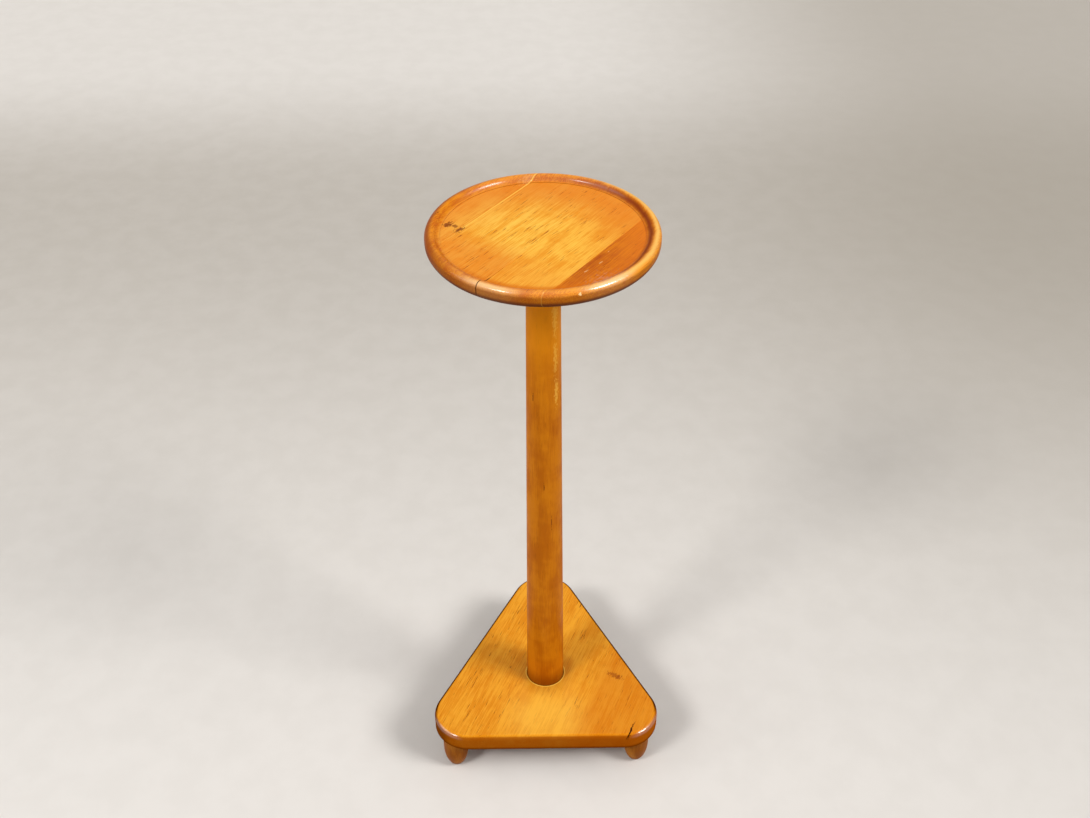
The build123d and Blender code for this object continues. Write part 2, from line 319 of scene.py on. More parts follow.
def lacquer(name, coat_ior=plain_coat_ior, wood_shine=0.03):
    """A new lacquered finish: its node tree and the shader that the figure goes into."""
    material = bpy.data.materials.new(name)
    material.use_nodes = True
    shader = material.node_tree.nodes["Principled BSDF"]
    shader.inputs["Specular IOR Level"].default_value = wood_shine
    shader.inputs["Coat Roughness"].default_value = coat_roughness
    shader.inputs["Coat IOR"].default_value = coat_ior
    return material, material.node_tree, shader


def polish(tree, shader, place, colour, relief, gloss=(0.30, 0.46)):
    """Link a figure to its shader, with smudges in the gloss and the grain in the relief."""
    tree.links.new(colour, shader.inputs["Base Color"])
    smudges = noise(tree, stretched(tree, place, *smudge_size), 4)
    tree.links.new(ramp(tree, smudges, *smudge_range, *gloss), shader.inputs["Roughness"])
    fills = {"Height": relief, "Strength": grain_strength, "Distance": grain_depth}
    bump = add_node(tree, "ShaderNodeBump", fills).outputs[0]
    tree.links.new(bump, shader.inputs["Normal"])


print("lacquer is ready")

# %% [markdown]
# Turned pieces are drawn as a woodturner draws them: half an outline, spun round an axis.
# A pen made of two operators draws that outline. A straight stretch is an extruded vertex,
# and a round stretch is a vertex spun about the arc's centre, so no list of points has to
# be worked out.

# %% Tools for turned pieces
merge_distance = 1e-6
level_share = 0.99999
crease_angle = radians(35)


def pen_start(shape, centre, radius, height):
    """Put the pen down at a distance from an upright axis."""
    return shape.verts.new((centre.x + radius, centre.y, height))


def pen_line(shape, last, centre, radius, height):
    """Draw a straight stretch to a distance from the axis and a height."""
    drawn = bmesh.ops.extrude_vert_indiv(shape, verts=[last])["verts"][0]
    drawn.co = (centre.x + radius, centre.y, height)
    return drawn


def pen_arc(shape, last, centre, radius, height, sweep, steps):
    """Draw a round stretch about a point of the outline; a positive sweep turns to the left."""
    drawn = bmesh.ops.spin(
        shape,
        geom=[last],
        cent=(centre.x + radius, centre.y, height),
        axis=(0, -1, 0),
        angle=radians(sweep),
        steps=steps,
    )
    return next(part for part in drawn["geom_last"] if isinstance(part, bmesh.types.BMVert))


def spin_outline(shape, centre, steps):
    """Spin the drawn outline once round its upright axis and close it."""
    geometry = shape.verts[:] + shape.edges[:]
    bmesh.ops.spin(
        shape, geom=geometry, cent=centre, axis=up, angle=2 * pi, steps=steps, use_merge=True
    )
    bmesh.ops.remove_doubles(shape, verts=shape.verts, dist=merge_distance)
    bmesh.ops.recalc_face_normals(shape, faces=shape.faces)


def soften(mesh):
    """Shade a mesh softly up to the crease angle, but keep its level faces flat."""
    mesh.set_sharp_from_angle(angle=crease_angle)
    for face in mesh.polygons:
        face.use_smooth = abs(face.normal.z) < level_share


def make_piece(name, shape):
    """Turn a finished shape into a mesh object with soft shading."""
    mesh = bpy.data.meshes.new(name)
    shape.to_mesh(mesh)
    shape.free()
    soften(mesh)
    piece = bpy.data.objects.new(name, mesh)
    scene.collection.objects.link(piece)
    return piece


def dress(piece, material, body, node):
    """Give a piece its finish, and let it stand for a solid of the frame on a body."""
    piece.data.materials.clear()
    piece.data.materials.append(material)
    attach(piece, body)
    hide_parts(node)
    print(piece.name, len(piece.data.polygons), "faces")


print("tools for turned pieces are ready")

# %% [markdown]
# The top was glued up from four staves first and turned afterwards, so the rim and the
# tray run unbroken across the glue lines. The same order works here: one spun disc, which
# planes cut into strips later. The outline goes from the flat underside round the rim, over
# its crest and down a cove of two arcs to the tray's floor, with a small step at its foot.

# %% Outline of the dished top
staves = ("top_stave_1", "top_stave_2", "top_stave_3", "top_stave_4")
stave_low, stave_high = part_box("top_stave_2")
top_under = stave_low.z
crest_height = stave_high.z
top_radius = max(abs(place) for node in staves for place in reach(node, across))
rim_under_round = 0.010
rim_top_round = 0.006
flat_radius = top_radius - rim_under_round
crest_radius = top_radius - rim_top_round
tray_depth = 0.0055
tray_step = 0.0005
rim_steps = 14
cove_steps = 10
top_steps = 256
cove_angle = 52
slope_radius = (tray_depth - tray_step) / 2 / (1 - cos(radians(cove_angle)))
floor_radius = crest_radius - 2 * slope_radius * sin(radians(cove_angle))
floor_height = crest_height - tray_depth


def dished_disc():
    """The whole top before it is cut into its staves."""
    shape = bmesh.new()
    last = pen_start(shape, axis, 0, top_under)
    last = pen_line(shape, last, axis, flat_radius, top_under)
    last = pen_arc(shape, last, axis, flat_radius, top_under + rim_under_round, 90, rim_steps)
    last = pen_line(shape, last, axis, top_radius, crest_height - rim_top_round)
    last = pen_arc(shape, last, axis, crest_radius, crest_height - rim_top_round, 90, rim_steps)
    slope_top = crest_height - slope_radius
    last = pen_arc(shape, last, axis, crest_radius, slope_top, cove_angle, cove_steps)
    slope_foot = floor_height + tray_step + slope_radius
    last = pen_arc(shape, last, axis, floor_radius, slope_foot, -cove_angle, cove_steps)
    last = pen_line(shape, last, axis, floor_radius, floor_height)
    pen_line(shape, last, axis, 0, floor_height)
    spin_outline(shape, axis, top_steps)
    return shape


print("top", round(2 * top_radius, 4), "m across, tray floor", round(2 * floor_radius, 4))

# %% [markdown]
# A plane cuts the disc at each glue line. Old joints sink a little as the wood dries, so the
# edge of each cut is pulled in to a fine groove. One joint has opened at the rim, and there
# the groove gets deeper towards the outside. All of this is in the mesh, because a groove
# that is only painted catches no light from the side.

# %% Cut the disc into staves
cut_distance = 1e-7
groove_width = 0.0004
groove_depth = 0.0002
open_joint_depth = 0.0035
open_joint_reach = 0.090


def slice_at(shape, place, keep):
    """Cut a shape by an upright plane across the staves; keep one side, or both if 0."""
    cut = bmesh.ops.bisect_plane(
        shape,
        geom=shape.verts[:] + shape.edges[:] + shape.faces[:],
        dist=cut_distance,
        plane_co=axis + across * place,
        plane_no=across * (-keep if keep else 1),
        clear_outer=bool(keep),
    )
    return [part for part in cut["geom_cut"] if isinstance(part, bmesh.types.BMVert)]


def glue_edge(shape, place, keep, opened):
    """Cut one glue line, sink its edge into a fine groove and close the cut."""
    slice_at(shape, place + keep * groove_width, 0)
    skin = slice_at(shape, place, keep)
    shape.normal_update()
    sunk = {}
    for vertex in skin:
        forward = -(vertex.co - axis).dot(along)
        gape = max(0.0, forward - open_joint_reach) / (top_radius - open_joint_reach)
        sunk[vertex] = groove_depth + (open_joint_depth * gape if opened else 0)
    for vertex, depth in sunk.items():
        vertex.co -= vertex.normal * depth
    edges = [edge for edge in shape.edges if edge.is_boundary]
    bmesh.ops.holes_fill(shape, edges=edges)


opened_joint = 1
stave_pieces = []
for number, node in enumerate(staves):
    low, high = reach(node, across)
    shape = dished_disc()
    if number > 0:
        glue_edge(shape, low, 1, opened=number - 1 == opened_joint)
    if number < len(staves) - 1:
        glue_edge(shape, high, -1, opened=number == opened_joint)
    bmesh.ops.recalc_face_normals(shape, faces=shape.faces)
    stave_pieces.append(make_piece(f"tray_stave_{number + 1}", shape))
print("cut", len(stave_pieces), "staves")

# %% [markdown]
# The top has many small marks: bark that was left in two of the boards, a notch and a chip
# in the rim, and scratches on the front board. Each mark is one line of a list, with its
# place and size along, across and through the staves, its tone and the share that shows.
# Noise eats into its edge, because a mark with a clean outline looks printed.

# %% Small marks on the top
# Burnt brown of marks and end grain; it is also the tone of painted shade.
burnt_and_shade = srgb(100, 40, 0)
# Near-black of cracks; it is also the tone of the darkest painted shade.
crack_and_shade_dark = srgb(76, 28, 0)
bark_brown = srgb(116, 46, 0)
# Pale tone of rubbed marks; it is also the tone of painted highlights on the rim.
rubbed_and_highlight_pale = srgb(255, 214, 150)
mark_depth = 0.02
bark_marks = (
    ((-0.0440, 0.0930, floor_height), (0.016, 0.0095, mark_depth), bark_brown, 0.85),
    ((-0.0425, 0.0850, floor_height), (0.007, 0.0100, mark_depth), bark_brown, 0.70),
    ((-0.0450, 0.0765, floor_height), (0.016, 0.0085, mark_depth), bark_brown, 0.85),
)
rim_notch = ((-0.0390, 0.1115, floor_height), (0.014, 0.0026, mark_depth), burnt_and_shade, 0.9)
rim_patch = ((0.0820, 0.0800, floor_height), (0.024, 0.020, mark_depth), rubbed_and_highlight_pale, 0.15)
chip_height = crest_height - 0.0041
rim_chip = ((-0.0759, -0.0989, chip_height), (0.0035, 0.0040, 0.0035), rubbed_and_highlight_pale, 0.9)
front_scratches = (
    ((0.0085, -0.0770, floor_height), (0.006, 0.0018, mark_depth), rubbed_and_highlight_pale, 0.5),
    ((-0.0139, -0.0821, floor_height), (0.008, 0.0014, mark_depth), rubbed_and_highlight_pale, 0.4),
    ((-0.0368, -0.0791, floor_height), (0.007, 0.0020, mark_depth), rubbed_and_highlight_pale, 0.5),
)
ragged_size = (0.0035, 0.0016)
ragged_strength = 3.2
ragged_shrink = 0.05
ragged_edge = (1.0, 0.5)


def spot(tree, place, centre, size):
    """1 inside a ragged mark: its centre and size along, across and through the board."""
    ragged = maths(tree, "SUBTRACT", noise(tree, stretched(tree, place, *ragged_size), 3), 0.5)
    broken = maths(tree, "MULTIPLY_ADD", ragged, ragged_strength, ragged_shrink)
    halves = tuple(2 / side for side in size)
    scaled = vector(tree, "MULTIPLY", vector(tree, "SUBTRACT", place, centre), halves)
    outward = maths(tree, "ADD", vector(tree, "LENGTH", scaled), broken)
    return ramp(tree, outward, *ragged_edge)


def marked(tree, place, colour, marks):
    """Lay marks over a colour; each has a centre, a size, a tone and the share that shows."""
    for centre, size, mark_tone, share in marks:
        mark = both(tree, spot(tree, place, centre, size), share)
        colour = tint(tree, mark, colour, mark_tone)
    return colour


print("bark marks:", len(bark_marks), "scratches:", len(front_scratches))

# %% [markdown]
# Then come the tones that run round the whole top. The tray is palest near its middle and
# darker away from it, and painted shade darkens it next to the rim. Painted shade darkens the
# cove, most on the right, and the foot of the rim in front. Painted light makes the crest of
# the rim pale on the right, painted highlights brighten it at two places in front, and painted
# shade darkens the outside on the left. Most of these are bands round the axis, so each is a
# ring, weighed by how far to the right or to the back it lies.

# %% Painted shade and light on the tray and the rim
edge_tone = srgb(222, 118, 24)
rim_pale = srgb(236, 146, 24)
# The rim's own deep tone; along its foot in front it is also painted shade.
rim_deep_and_shade = srgb(204, 104, 6)
# Painted light on the crest of the rim.
painted_light_rim = srgb(250, 200, 106)
# Painted shade in the cove and on the outside of the rim.
painted_shade_tone = srgb(136, 51, 0)
pale_middle = Vector((-0.027, -0.004, 0))
right_hand = Vector((along.x, across.x, 0))
back_hand = Vector((along.y, across.y, 0))
rim_start = floor_radius + 0.003
outer_crest = crest_radius + 0.003
inner_crest = crest_radius - 0.003
cove_band = (floor_radius + 0.0045, 0.0060)
foot_band = (floor_radius - 0.0010, 0.0075)
crest_band = (crest_radius + 0.0018, 0.0046)
highlight_band = (crest_radius + 0.0028, 0.0046)
pale_reach = (0.040, 0.125)
tray_edge = (floor_radius - 0.022, floor_radius)
deep_end_reach = (-0.025, -0.075)
cove_reach = (0.0, 0.110)
foot_reach = (-0.040, -0.100)
right_light_reach = (0.02, 0.115)
left_reach = (0.0, -0.11)
front_reach = (-0.100, -0.020)
highlight_reach = (0.042, 0.008)
# Bearings in degrees of two painted highlights on the crest.
right_highlight_bearing = -57
left_highlight_bearing = -117
painted_highlights = ((right_highlight_bearing, 0.6), (left_highlight_bearing, 0.7))
wander_size = (0.02, 0.02)
wander_width = 0.003


def rim_place(bearing, height):
    """A place on the rim, along and across the staves, by its bearing in degrees."""
    side = Vector((cos(radians(bearing)), sin(radians(bearing)), 0)) * outer_crest
    return side.dot(along), side.dot(across), height


def towards(tree, place, hand):
    """How far each place lies from the axis towards the right or the back."""
    return vector(tree, "DOT_PRODUCT", place, tuple(hand))


def stave_and_rim_tones(tree, place, radius, pale, deep, deep_end):
    """The two tones of a stave, less pale away from its middle and darkened by painted shade near
    the rim, and those of the rim.
    """
    from_middle = distance(tree, flattened(tree, place), pale_middle)
    darker_share = ramp(tree, from_middle, *pale_reach, high=0.75)
    # Painted shade: the tray darkens towards the rim.
    darker_share = either(tree, darker_share, ramp(tree, radius, *tray_edge, high=0.45))
    if deep_end:
        near_end = ramp(tree, parts_of(tree, place)["X"], *deep_end_reach, high=deep_end)
        darker_share = either(tree, darker_share, near_end)
    on_rim = ramp(tree, radius, floor_radius, rim_start)
    pale = tint(tree, on_rim, tint(tree, darker_share, pale, edge_tone), rim_pale)
    deep = tint(tree, on_rim, tint(tree, darker_share, deep, edge_tone), rim_deep_and_shade)
    return pale, deep


def rim_painted_shade_and_light(tree, place, radius, colour):
    """Painted shade in the cove, the front foot and the left outside; painted light on the crest.
    """
    rightwards = towards(tree, place, right_hand)
    backwards = towards(tree, place, back_hand)
    wander = maths(tree, "SUBTRACT", noise(tree, stretched(tree, place, *wander_size), 2), 0.5)
    uneven = maths(tree, "MULTIPLY_ADD", wander, wander_width, radius)
    # Painted shade in the cove, strongest on the right.
    cove_shade = ramp(tree, rightwards, *cove_reach, low=0.25, high=0.95)
    colour = tint(tree, both(tree, ring(tree, uneven, *cove_band), cove_shade), colour, painted_shade_tone)
    # Painted shade along the foot of the rim in front.
    front_shade = ramp(tree, backwards, *foot_reach, high=0.65)
    colour = tint(tree, both(tree, ring(tree, uneven, *foot_band), front_shade), colour, rim_deep_and_shade)
    # Painted light on the crest, strongest on the right.
    painted_right_light = ramp(tree, rightwards, *right_light_reach, low=0.12, high=0.75)
    colour = tint(tree, both(tree, ring(tree, uneven, *crest_band), painted_right_light), colour, painted_light_rim)
    # Painted highlights on the crest at two bearings in front.
    crest = ring(tree, radius, *highlight_band)
    for bearing, share in painted_highlights:
        away = distance(tree, flattened(tree, place), rim_place(bearing, 0))
        painted_highlight = both(tree, crest, ramp(tree, away, *highlight_reach, high=share))
        colour = tint(tree, painted_highlight, colour, rubbed_and_highlight_pale)
    # Painted shade on the outside of the rim on the left.
    outside = ramp(tree, radius, inner_crest, outer_crest)
    left_shade = both(tree, outside, ramp(tree, rightwards, *left_reach, high=0.8))
    left_shade = both(tree, left_shade, ramp(tree, backwards, *front_reach, low=0.2))
    return tint(tree, left_shade, colour, painted_shade_tone)


# The pale places on the crest at these bearings are painted highlights.
print("rim rubbed pale at the bearings", right_highlight_bearing, "and", left_highlight_bearing)

# %% [markdown]
# Four boards, four tones: that is what tells the eye the top is glued up. They share one
# finish, and the differences are the two tones of each board, the seed of its figure and the
# marks on it. The lacquer is thin in the tray and thicker on the rim, and one place at the
# right front still has all of its gloss. Below the rim the lacquer is dull, and painted shade
# darkens the wood.

# %% Finish of the staves
tray_coat = 0.07
rim_coat = 0.33
fresh_coat = 0.95
gloss_reach = (0.105, 0.075)
upward_looks = (0.0, 0.45)
underside_shade_looks = (-0.45, 1.00)
downward_looks = (0.0, -0.6)
fresh_place = rim_place(right_highlight_bearing, crest_height)
fresh_size = (0.055, 0.055, mark_depth)
stave_fleck = srgb(152, 58, 0)
# Pale tone of glue lines; it is also the tone of painted light and painted highlights.
glue_and_highlight_pale = srgb(255, 206, 88)


def rim_gloss(tree, place, radius, upwards):
    """How thick the lacquer is: thin in the tray, thicker on the rim, thickest at one place."""
    on_rim = ramp(tree, radius, floor_radius, rim_start)
    sideways = maths(tree, "ABSOLUTE", towards(tree, place, right_hand))
    polished = both(tree, on_rim, ramp(tree, sideways, *gloss_reach))
    thick = maths(tree, "MULTIPLY_ADD", polished, rim_coat - tray_coat, tray_coat)
    fresh = both(tree, spot(tree, place, fresh_place, fresh_size), fresh_coat)
    upper_side = ramp(tree, upwards, *upward_looks, low=0.1)
    return both(tree, either(tree, thick, fresh), upper_side)


def joint_line(tree, parts, across_place, half_width, start, end):
    """1 along a glue line, fading in between two places along it."""
    beside = ring(tree, parts["Y"], across_place, half_width)
    return both(tree, beside, ramp(tree, parts["X"], start, end))


def stave_finish(name, seed, pale, deep, deep_end, lines, marks):
    """Lacquered stave: paler in the middle of the tray, with painted shade and painted light on
    the rim.
    """
    material, tree, shader = lacquer(name, glassy_coat_ior)
    place = grain_place(tree, axis, (0, 0, stave_turn))
    radius = vector(tree, "LENGTH", flattened(tree, place))
    tones = stave_and_rim_tones(tree, place, radius, pale, deep, deep_end)
    colour, relief = wood_figure(tree, place, seed, *tones, stave_fleck, 0.95)
    colour = tint(tree, both(tree, end_grain(tree, along), 0.20), colour, burnt_and_shade)
    colour = rim_painted_shade_and_light(tree, place, radius, colour)
    upwards = facing(tree)["Z"]
    # Painted shade on the rim's upright faces and, darkest, on faces that look down.
    colour = tint(tree, both(tree, ring(tree, upwards, *underside_shade_looks), 0.85), colour, burnt_and_shade)
    colour = tint(tree, ramp(tree, upwards, *downward_looks, high=0.75), colour, crack_and_shade_dark)
    tree.links.new(rim_gloss(tree, place, radius, upwards), shader.inputs["Coat Weight"])
    parts = parts_of(tree, place)
    for *run, line_tone, share in lines:
        shown = both(tree, joint_line(tree, parts, *run), share)
        colour = tint(tree, shown, colour, line_tone)
    polish(tree, shader, place, marked(tree, place, colour, marks), relief)
    return material


first_joint, second_joint, third_joint = (reach(node, across)[1] for node in staves[:3])
first_line = (first_joint, 0.0005, -0.086, -0.092, glue_and_highlight_pale, 0.25)
open_line = (second_joint, 0.0010, -0.098, -0.104, crack_and_shade_dark, 0.9)
light_line = (third_joint, 0.0012, -0.044, -0.038, glue_and_highlight_pale, 0.75)
stave_tones = (
    ("front_stave_wood", (0.31, 0.17, 0.05), srgb(208, 121, 6), srgb(160, 66, 0),
     0, (first_line,), (rim_chip, *front_scratches)),
    ("golden_stave_wood", (1.37, 0.41, 0.23), srgb(248, 189, 70), srgb(232, 150, 34),
     0.35, (first_line, open_line), ()),
    ("honey_stave_wood", (2.11, 0.83, 0.61), srgb(248, 195, 78), srgb(234, 156, 38),
     0.65, (open_line, light_line), bark_marks),
    ("amber_stave_wood", (3.59, 1.27, 0.97), srgb(246, 192, 76), srgb(224, 139, 32),
     0, (light_line,), (*bark_marks, rim_notch, rim_patch)),
)
for piece, node, (name, *tone) in zip(stave_pieces, staves, stave_tones):
    dress(piece, stave_finish(name, *tone), "tilting_top", node)

# %% [markdown]
# The base is one thick board with three round corners and soft edges. Beveling a triangle's
# corners gives ovals, because its corners aren't square. Three round pucks at the corners
# and a convex hull round them give true arcs and the soft edges in one go, as a string
# pulled tight round three coins would.

# %% Hull of the base board
base_low, base_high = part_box("base_board")
corner_radius = 0.0455
top_round = 0.006
bottom_round = 0.002
top_round_steps = 10
bottom_round_steps = 4
corner_steps = 96
flat_angle = radians(0.2)
corner_centres = (
    Vector((base_low.x + corner_radius, base_low.y + corner_radius, 0)),
    Vector((base_high.x - corner_radius, base_low.y + corner_radius, 0)),
    Vector((axis.x, base_high.y - corner_radius, 0)),
)


def corner_puck(centre):
    """A round slab with soft edges, the size of one corner of the base."""
    shape = bmesh.new()
    inner = corner_radius - bottom_round
    last = pen_start(shape, centre, 0, base_low.z)
    last = pen_line(shape, last, centre, inner, base_low.z)
    last = pen_arc(shape, last, centre, inner, base_low.z + bottom_round, 90, bottom_round_steps)
    last = pen_line(shape, last, centre, corner_radius, base_high.z - top_round)
    inner = corner_radius - top_round
    last = pen_arc(shape, last, centre, inner, base_high.z - top_round, 90, top_round_steps)
    pen_line(shape, last, centre, 0, base_high.z)
    spin_outline(shape, centre, corner_steps)
    return shape


def gather(shapes):
    """Put several shapes into one."""
    whole = bmesh.new()
    for shape in shapes:
        carrier = bpy.data.meshes.new("carrier")
        shape.to_mesh(carrier)
        shape.free()
        whole.from_mesh(carrier)
        bpy.data.meshes.remove(carrier)
    return whole


slab = gather([corner_puck(centre) for centre in corner_centres])
hull = bmesh.ops.convex_hull(slab, input=slab.verts[:])
inside = set(hull["geom_interior"]) | set(hull["geom_unused"])
loose = [part for part in inside if isinstance(part, bmesh.types.BMVert)]
bmesh.ops.delete(slab, geom=loose, context="VERTS")
bmesh.ops.dissolve_limit(slab, angle_limit=flat_angle, verts=slab.verts, edges=slab.edges)
bmesh.ops.recalc_face_normals(slab, faces=slab.faces)
base_slab = make_piece("base_slab", slab)
print("base hull", len(base_slab.data.vertices), "vertices")

# %% [markdown]
# The board is bored from above for the column, from below for the screw that pulls the
# column in, and three times for the pegs. One corner has split along the grain. All of
# these are cutters, gathered into one shape and taken away with a Boolean, which is
# applied at once so that the finished piece is a plain mesh.

# %% Bore the base and split its corner
recess_radius = 0.014
recess_depth = 0.008
bolt_radius = 0.0041
web = 0.008
socket_gap = 0.00035
socket_bevel = 0.0008
past = 0.001
socket_steps = 96
column_radius = (column_high.x - column_low.x) / 2


def column_bore():
    """Everything bored along the column's axis: recess, bolt hole and socket."""
    shape = bmesh.new()
    socket_floor = base_low.z + recess_depth + web
    socket_radius = column_radius + socket_gap
    last = pen_start(shape, axis, 0, base_low.z - past)
    for radius, height in (
        (recess_radius, base_low.z - past),
        (recess_radius, base_low.z + recess_depth),
        (bolt_radius, base_low.z + recess_depth),
        (bolt_radius, socket_floor),
        (socket_radius, socket_floor),
        (socket_radius, base_high.z - socket_bevel),
        (socket_radius + socket_bevel + past, base_high.z + past),
        (0, base_high.z + past),
    ):
        last = pen_line(shape, last, axis, radius, height)
    spin_outline(shape, axis, socket_steps)
    return shape


pegs = ("foot_left", "foot_right", "foot_back")
peg_tenon_radius = 0.008
hole_gap = 0.0001
hole_steps = 48


def peg_centre(node):
    """The upright axis of one peg."""
    low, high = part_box(node)
    return Vector(((low.x + high.x) / 2, (low.y + high.y) / 2, 0))


def peg_bore(node):
    """The blind hole for one peg's tenon."""
    shape = bmesh.new()
    centre = peg_centre(node)
    radius = peg_tenon_radius + hole_gap
    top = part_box(node)[1].z + hole_gap
    last = pen_start(shape, centre, 0, base_low.z - past)
    last = pen_line(shape, last, centre, radius, base_low.z - past)
    last = pen_line(shape, last, centre, radius, top)
    pen_line(shape, last, centre, 0, top)
    spin_outline(shape, centre, hole_steps)
    return shape


split_start = axis + Vector((0.1150, -0.0925, base_high.z))
split_end = axis + Vector((0.1070, -0.1135, base_high.z))
split_width = 0.0019
split_depth = 0.009
split_lean = Vector((-0.0045, -0.0005, 0))


def corner_split():
    """A thin blade with the shape of the split: a point inside, widest and deepest in front."""
    shape = bmesh.new()
    run = (split_end - split_start).normalized()
    side = run.cross(up) * split_width / 2
    front = split_end + run * past
    lift = up * past
    for corner in (
        split_start + lift,
        front + side + lift,
        front - side + lift,
        split_start - up * past,
        front + split_lean - up * split_depth,
    ):
        shape.verts.new(corner)
    bmesh.ops.convex_hull(shape, input=shape.verts[:])
    bmesh.ops.recalc_face_normals(shape, faces=shape.faces)
    return shape


def carve(piece, cutters):
    """Take cutters away from a piece and keep the result as its plain mesh."""
    cutter = make_piece("cutter", gather(cutters))
    boolean = piece.modifiers.new("carve", "BOOLEAN")
    boolean.object = cutter
    boolean.solver = "EXACT"
    bpy.context.view_layer.update()
    graph = bpy.context.evaluated_depsgraph_get()
    carved = bpy.data.meshes.new_from_object(piece.evaluated_get(graph))
    piece.modifiers.clear()
    plain = piece.data
    piece.data = carved
    carved.name = plain.name + "_carved"
    bpy.data.meshes.remove(plain)
    bpy.data.objects.remove(cutter)
    soften(carved)


carve(base_slab, [column_bore(), *[peg_bore(node) for node in pegs], corner_split()])
print("base carved:", len(base_slab.data.vertices), "vertices")

# %% [markdown]
# The base's grain runs from front to back, leaning to the right, so its front edge is end
# grain and drinks more stain than the face. Painted shade darkens the roundings at the back
# and on the left, the bottom and the board round the column. Painted light brightens the face
# in front of the column, and a painted highlight lies on the socket's edge. The lacquer is
# thin on the face and still glossy on the two front corners. A scar shows where a small
# branch once grew. A look is how far a face turns up, back or right, and each range of
# looks, heights or reach says where a tone starts and where it is full.

# %% Finish of the base
base_grain_turn = radians(67.3)
base_grain = Vector((cos(base_grain_turn), sin(base_grain_turn), 0))
base_pale = srgb(233, 159, 41)
base_deep = srgb(216, 131, 17)
base_right = srgb(206, 110, 4)
base_fleck = srgb(116, 46, 0)
stain = srgb(134, 50, 0)
face_coat = 0.12
corner_coat = 0.95
scar_tone = srgb(142, 62, 0)
base_scar = (
    ((0.0290, -0.0900, base_high.z), (0.011, 0.026, mark_depth), scar_tone, 0.6),
    ((0.0265, -0.0975, base_high.z), (0.007, 0.014, mark_depth), scar_tone, 0.6),
)
split_middle = (split_start + split_end) / 2 - axis
split_mark = (
    (split_middle.dot(base_grain), split_middle.dot(up.cross(base_grain)), base_high.z),
    ((split_end - split_start).length * 1.3, split_width * 1.8, mark_depth),
    crack_and_shade_dark,
    0.95,
)
# Painted light on the face in front of the column.
painted_light_front = Vector((-0.069, -0.029, base_high.z))
painted_light_reach = (0.075, 0.010)
right_reach = (-0.060, -0.085)
bottom_heights = (base_low.z + 0.007, base_low.z + 0.001)
gloss_heights = (base_high.z - 0.007, base_high.z - 0.003)
level_looks = (0.96, 0.99)
edge_looks = (0.97, 0.60)
rounding_looks = (0.985, 0.85)
above_side_looks = (0.05, 0.30)
back_looks = (-0.12, 0.08)
left_looks = (-0.45, -0.80)
front_looks = (-0.10, -0.30)
corner_looks = (0.10, 0.40)
# Painted shade round the column, and a painted highlight on the socket's edge.
foot_shade_reach = (column_radius + 0.024, column_radius)
socket_highlight_band = (column_radius + socket_gap + socket_bevel, 0.0018)


def base_edges(tree, parts, look, colour):
    """Stain on the edges, with painted shade on the back and left roundings and along the bottom.
    """
    colour = tint(tree, ramp(tree, look["Z"], *edge_looks, high=0.74), colour, stain)
    # Painted shade on the back and left roundings.
    rounded = ramp(tree, look["Z"], *rounding_looks, high=0.97)
    rounded = both(tree, rounded, ramp(tree, look["Z"], *above_side_looks))
    backward = both(tree, rounded, ramp(tree, look["Y"], *back_looks))
    leftward = ramp(tree, look["X"], *left_looks, high=0.6)
    colour = tint(tree, either(tree, backward, leftward), colour, crack_and_shade_dark)
    # Painted shade along the bottom.
    lowest = ramp(tree, parts["Z"], *bottom_heights, high=0.75)
    return tint(tree, lowest, colour, crack_and_shade_dark)


def base_gloss(tree, parts, look, level):
    """How thick the lacquer is: thin on the face, thick on the roundings of the front corners."""
    forward = ramp(tree, look["Y"], *front_looks, high=corner_coat)
    sideways = maths(tree, "ABSOLUTE", look["X"])
    corners = both(tree, forward, ramp(tree, sideways, *corner_looks))
    thick = either(tree, both(tree, level, face_coat), corners)
    return both(tree, thick, ramp(tree, parts["Z"], *gloss_heights))


def base_finish():
    """Lacquered board: dark edges, painted shade, light and a highlight by the column, a branch
    scar.
    """
    material, tree, shader = lacquer("base_board_wood", glassy_coat_ior, wood_shine=0.0)
    place = grain_place(tree, axis, (0, 0, base_grain_turn))
    parts = parts_of(tree, place)
    look = facing(tree)
    level = ramp(tree, look["Z"], *level_looks)
    colour, relief = wood_figure(
        tree, place, (5.2, 2.4, 1.3), base_pale, base_deep, base_fleck, 0.95
    )
    rightwards = ramp(tree, parts["Y"], *right_reach, high=0.45)
    colour = tint(tree, rightwards, colour, base_right)
    colour = base_edges(tree, parts, look, colour)
    tree.links.new(base_gloss(tree, parts, look, level), shader.inputs["Coat Weight"])
    # Painted light on the face in front of the column.
    bright = ramp(tree, distance(tree, place, painted_light_front), *painted_light_reach, high=0.32)
    colour = tint(tree, both(tree, bright, level), colour, glue_and_highlight_pale)
    colour = tint(tree, both(tree, end_grain(tree, base_grain), 0.15), colour, burnt_and_shade)
    radius = vector(tree, "LENGTH", flattened(tree, place))
    # Painted shade on the board round the column.
    foot_shade = ramp(tree, radius, *foot_shade_reach, high=0.24)
    colour = tint(tree, foot_shade, colour, burnt_and_shade)
    # Painted highlight on the socket's edge.
    socket_highlight = both(tree, ring(tree, radius, *socket_highlight_band), 0.8)
    colour = tint(tree, socket_highlight, colour, glue_and_highlight_pale)
    polish(tree, shader, place, marked(tree, place, colour, (*base_scar, split_mark)), relief)
    return material


dress(base_slab, base_finish(), "stand", "base_board")

# %% [markdown]
# The column is one long turning: a straight end in the base's socket, a gentle taper, a
# small shoulder and a tenon that goes through the pivot block. The tenon is sawn and wedged
# in the block, so the saw cut is carved out of it for the wedge to sit in.

